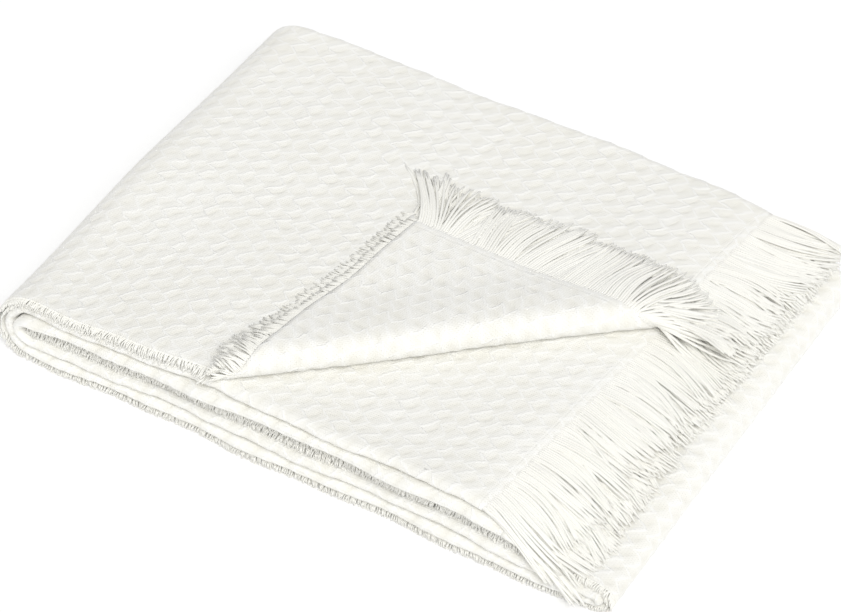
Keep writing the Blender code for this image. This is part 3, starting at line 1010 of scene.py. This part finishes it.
def weave_group():
    """The ridges, dents and fine threads of the cloth in millimetres, and the painted shade of the ridges
    and dents, from its flat u and v in metres.
    """
    group, given, result = new_group("zigzag_weave", {}, ("Height", "Shade"))
    drift = noise_node(group, given["Vector"], FINISH_DRIFT_SCALE, FINISH_DRIFT_DETAIL)
    drifts = group.nodes.new("ShaderNodeSeparateColor")
    feed(group, drift.outputs["Color"], drifts.inputs[0])
    split = group.nodes.new("ShaderNodeSeparateXYZ")
    feed(group, given["Vector"], split.inputs[0])
    flat_u, flat_v = split.outputs["X"], split.outputs["Y"]
    moved = []
    for flat, part in ((flat_u, "Red"), (flat_v, "Green")):
        off = math_node(group, "SUBTRACT", drifts.outputs[part], 0.5)
        moved.append(math_node(group, "ADD", flat, math_node(group, "MULTIPLY", off, FINISH_DRIFT)))
    u, v = moved
    # Each set gives its height, and its painted shade in the dents and painted highlight on the ridges
    main, dark = zigzag_nodes(group, u, v, 1.0)
    between_u = math_node(group, "ADD", u, WARP_REPEAT / 2)
    between_v = math_node(group, "ADD", v, WEFT_REPEAT / 2)
    faint, faint_painted_shade = zigzag_nodes(group, between_u, between_v, FAINT_SHARE)
    warp = math_node(group, "SINE", math_node(group, "MULTIPLY", flat_u, 2 * math.pi / THREAD_PITCH["u"]))
    weft = math_node(group, "SINE", math_node(group, "MULTIPLY", flat_v, 2 * math.pi / THREAD_PITCH["v"]))
    crossed = math_node(group, "MULTIPLY", warp, weft)
    threads = math_node(group, "MULTIPLY_ADD", weft, WEFT_THREAD_SHARE, crossed)
    strength = math_node(group, "MULTIPLY_ADD", drifts.outputs["Blue"], MORE_STRENGTH, LEAST_STRENGTH)
    height = math_node(group, "MULTIPLY", math_node(group, "ADD", main, faint), strength)
    to_far_hem = math_node(group, "SUBTRACT", CLOTH_LENGTH, flat_u)
    from_hem = math_node(group, "MINIMUM", flat_u, to_far_hem)
    past_hem = math_node(group, "SUBTRACT", from_hem, FLAT_HEM)
    woven = math_node(group, "MULTIPLY_ADD", past_hem, 1 / FLAT_SELVEDGE, 0.5, clamp=True)
    height = math_node(group, "MULTIPLY", height, woven)
    groove = soft_line(group, past_hem, HEM_GROOVE_WIDTH)
    height = math_node(group, "MULTIPLY_ADD", groove, -HEM_GROOVE, height)
    feed(group, math_node(group, "MULTIPLY_ADD", threads, THREAD_HEIGHT, height), result["Height"])
    # The painted shade of both sets: darker in the dents, lighter on the ridges
    feed(group, math_node(group, "MULTIPLY_ADD", faint_painted_shade, FAINT_SHARE, dark), result["Shade"])
    return group


def twist_group():
    """The plies of a twisted yarn in millimetres, from its length in metres and its way round."""
    group, given, result = new_group("yarn_twist", {"Turn": PLY_TURN}, ("Height",))
    split = group.nodes.new("ShaderNodeSeparateXYZ")
    feed(group, given["Vector"], split.inputs[0])
    turns = math_node(group, "DIVIDE", split.outputs["X"], given["Turn"])
    helix = math_node(group, "MULTIPLY_ADD", split.outputs["Y"], PLIES, turns)
    wave = math_node(group, "SINE", math_node(group, "MULTIPLY", helix, 2 * math.pi))
    ply = math_node(group, "ABSOLUTE", wave)
    feed(group, math_node(group, "MULTIPLY", ply, PLY_HEIGHT), result["Height"])
    return group


def matt_material(name, finish):
    """A new material with these values on its shader, and that shader."""
    material = bpy.data.materials.new(name)
    material.use_nodes = True
    shader = material.node_tree.nodes["Principled BSDF"]
    for socket, value in finish.items():
        shader.inputs[socket].default_value = value
    return material, shader


def cotton_material(name, fibres, pattern, uv_name):
    """A matt cotton finish, its height and shade made by the fibre group and one pattern group; on the
    woven cloth the shade holds the weave's painted shade and painted highlight.
    """
    kind = COTTON_KINDS[name]
    material, shader = matt_material(name, COTTON)
    tree = material.node_tree
    flat_place = tree.nodes.new("ShaderNodeUVMap")
    flat_place.uv_map = uv_name
    weave = tree.nodes.new("ShaderNodeGroup")
    weave.node_tree = pattern
    feed(tree, flat_place.outputs["UV"], weave.inputs["Vector"])
    fibre = tree.nodes.new("ShaderNodeGroup")
    fibre.node_tree = fibres
    coordinates = tree.nodes.new("ShaderNodeTexCoord")
    feed(tree, coordinates.outputs["Object"], fibre.inputs["Vector"])
    mix = tree.nodes.new("ShaderNodeMix")
    mix.data_type = "RGBA"
    mix.inputs["A"].default_value = (*kind["light"], 1)
    mix.inputs["B"].default_value = (*kind["dark"], 1)
    shade = fibre.outputs["Shade"]
    # The weave adds its painted shade in the dents and painted highlight on the ridges to the fibres'
    # random spots of tone
    if "Shade" in weave.outputs:
        shade = math_node(tree, "MULTIPLY_ADD", weave.outputs["Shade"], WEAVE_PAINTED_SHADE, shade)
    feed(tree, shade, mix.inputs["Factor"])
    feed(tree, mix.outputs["Result"], shader.inputs["Base Color"])
    fibre_height = fibre.outputs["Height"]
    height = math_node(tree, "MULTIPLY_ADD", fibre_height, kind["grain"], weave.outputs["Height"])
    bump = tree.nodes.new("ShaderNodeBump")
    bump.inputs["Strength"].default_value = 1.0
    bump.inputs["Distance"].default_value = HEIGHT_UNIT
    feed(tree, height, bump.inputs["Height"])
    feed(tree, bump.outputs["Normal"], shader.inputs["Normal"])
    return material


# The set

def make_floor():
    """A plain pale floor that reaches out of every view."""
    bpy.ops.object.select_all(action="DESELECT")
    bpy.ops.mesh.primitive_plane_add(size=FLOOR_SIZE, location=(0, 0, -FLOOR_DROP))
    floor = bpy.context.object
    floor.name = "floor"
    floor.data.materials.append(matt_material("pale_floor", FLOOR)[0])
    return floor


def light_set():
    """A bright even studio: one soft lamp from the front right, and one from beside the camera."""
    world = bpy.data.worlds.new("studio")
    world.use_nodes = True
    background = world.node_tree.nodes["Background"]
    background.inputs["Color"].default_value = (1.0, 1.0, 1.0, 1)
    background.inputs["Strength"].default_value = WORLD_LIGHT
    bpy.context.scene.world = world
    for name, (energy, softness, comes_from) in LIGHTS.items():
        data = bpy.data.lights.new(name, "SUN")
        data.energy = energy
        data.angle = math.radians(softness)
        light = bpy.data.objects.new(name, data)
        light.rotation_euler = (-Vector(comes_from)).to_track_quat("-Z", "Y").to_euler()
        bpy.context.scene.collection.objects.link(light)
    bpy.context.scene.view_settings.view_transform = "Standard"


def make_camera():
    """The photograph's view, with the image taken as 841 by 612."""
    back = Vector((
        math.sin(CAMERA_AZIMUTH) * math.cos(CAMERA_ELEVATION),
        -math.cos(CAMERA_AZIMUTH) * math.cos(CAMERA_ELEVATION),
        math.sin(CAMERA_ELEVATION),
    ))
    data = bpy.data.cameras.new("camera")
    data.lens = CAMERA_LENS
    data.sensor_width = CAMERA_SENSOR
    data.sensor_fit = "HORIZONTAL"
    data.clip_end = CAMERA_REACH
    camera = bpy.data.objects.new("camera", data)
    camera.location = CAMERA_TARGET + back * CAMERA_DISTANCE
    camera.rotation_euler = (-back).to_track_quat("-Z", "Y").to_euler()
    bpy.context.scene.collection.objects.link(camera)
    bpy.context.scene.camera = camera


def main():
    """Makes the throw's pieces, the floor, the light and the camera."""
    fibres = cotton_fibre_group()
    woven = cotton_material("woven_cotton", fibres, weave_group(), "cloth_uv")
    twisted = cotton_material("twisted_yarn", fibres, twist_group(), "yarn_uv")
    cloth = make_cloth(woven)
    top_fringe = make_fringe("top", "top_yarns", twisted)
    under_fringe = make_fringe("under", "under_yarns", twisted)
    outer_fray = make_fray("outer", "outer_selvedge_fray", twisted)
    inner_fray = make_fray("inner", "inner_selvedge_fray", twisted)
    floor = make_floor()
    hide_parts("cloth")
    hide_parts("top_fringe")
    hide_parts("under_fringe")
    for piece in (cloth, top_fringe, under_fringe, outer_fray, inner_fray):
        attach(piece, "root")
    light_set()
    make_camera()


main()
